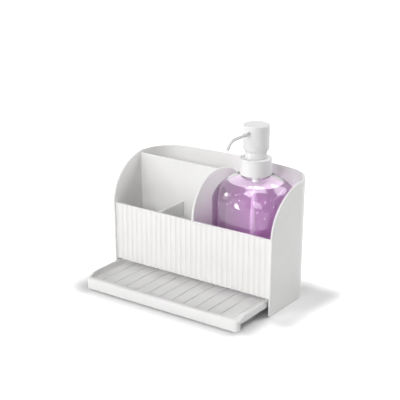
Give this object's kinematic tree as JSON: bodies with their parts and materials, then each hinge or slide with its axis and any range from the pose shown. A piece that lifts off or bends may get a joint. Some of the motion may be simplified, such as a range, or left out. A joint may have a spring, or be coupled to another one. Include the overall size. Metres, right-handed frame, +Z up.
{
  "type": "soap pump caddy",
  "caption": "Upright counter caddy with arched side walls, a fluted front, compartments, a pull-out drip tray and an oval pump bottle of liquid soap.",
  "frame": {"origin": "middle of the footprint on the counter, with the drip tray pulled out as pictured", "axes": "+Z up, +X to the right seen from the front, the fluted front and the drip tray face -Y"},
  "size_m": [0.2338, 0.159, 0.2133],
  "materials": {
    "caddy": "satin white moulded plastic",
    "tray": "satin white moulded plastic",
    "clear_bottle": "clear glossy plastic",
    "soap": "clear purple liquid soap",
    "gasket": "soft translucent rubber",
    "pump_plastic": "natural white plastic",
    "clear_tube": "translucent plastic tube",
    "steel_ball": "polished steel",
    "pump_white": "smooth satin white plastic",
    "spring_wire": "drawn steel wire"
  },
  "bodies": {
    "caddy": {"outer_shell": "caddy", "front_panel": "caddy", "floor_grid": "caddy", "tall_divider": "caddy", "low_divider": "caddy", "pocket_wall": "caddy", "runner_left": "caddy", "runner_right": "caddy"},
    "tray": {"drip_tray": "tray"},
    "dispenser": {"bottle": "clear_bottle", "soap": "soap"},
    "pump_insert": {"neck_gasket": "gasket", "pump_housing": "pump_plastic", "guide_ring": "pump_plastic", "dip_tube": "clear_tube", "return_spring": "spring_wire"},
    "collar": {"screw_collar": "pump_white"},
    "plunger": {"piston": "pump_plastic", "stem": "pump_plastic"},
    "actuator": {"pump_head": "pump_white", "nozzle": "pump_white"},
    "valve": {"valve_ball": "steel_ball"}
  },
  "joints": [
    {"name": "tray_slide", "type": "slide", "parent": "caddy", "child": "tray", "axis": [0, -1, 0], "range_m": [-0.062, 0.005]},
    {"name": "dispenser_lift", "type": "slide", "parent": "caddy", "child": "dispenser", "axis": [0, 0, 1], "range_m": [0, 0.13]},
    {"name": "insert_lift", "type": "slide", "parent": "dispenser", "child": "pump_insert", "axis": [0, 0, 1], "range_m": [0, 0.0037]},
    {"name": "collar_turn", "type": "hinge", "parent": "pump_insert", "child": "collar", "pos_m": [0.0606, 0.0336, 0.163], "axis": [0, 0, 1], "range_deg": [0, 360]},
    {"name": "head_press", "type": "slide", "parent": "pump_insert", "child": "plunger", "axis": [0, 0, -1], "range_m": [0, 0.006], "stiffness_N_per_m": 600, "springref_m": -0.004, "deforming": ["return_spring"]},
    {"name": "head_turn", "type": "hinge", "parent": "plunger", "child": "actuator", "pos_m": [0.0606, 0.0336, 0.19], "axis": [0, 0, 1], "continuous": true},
    {"name": "valve_rise", "type": "slide", "parent": "pump_insert", "child": "valve", "axis": [0, 0, 1], "range_m": [0, 0.001]}
  ],
  "couplings": [
    {"joint": "insert_lift", "follows": "collar_turn", "m_per_rad": 0.00057296}
  ]
}
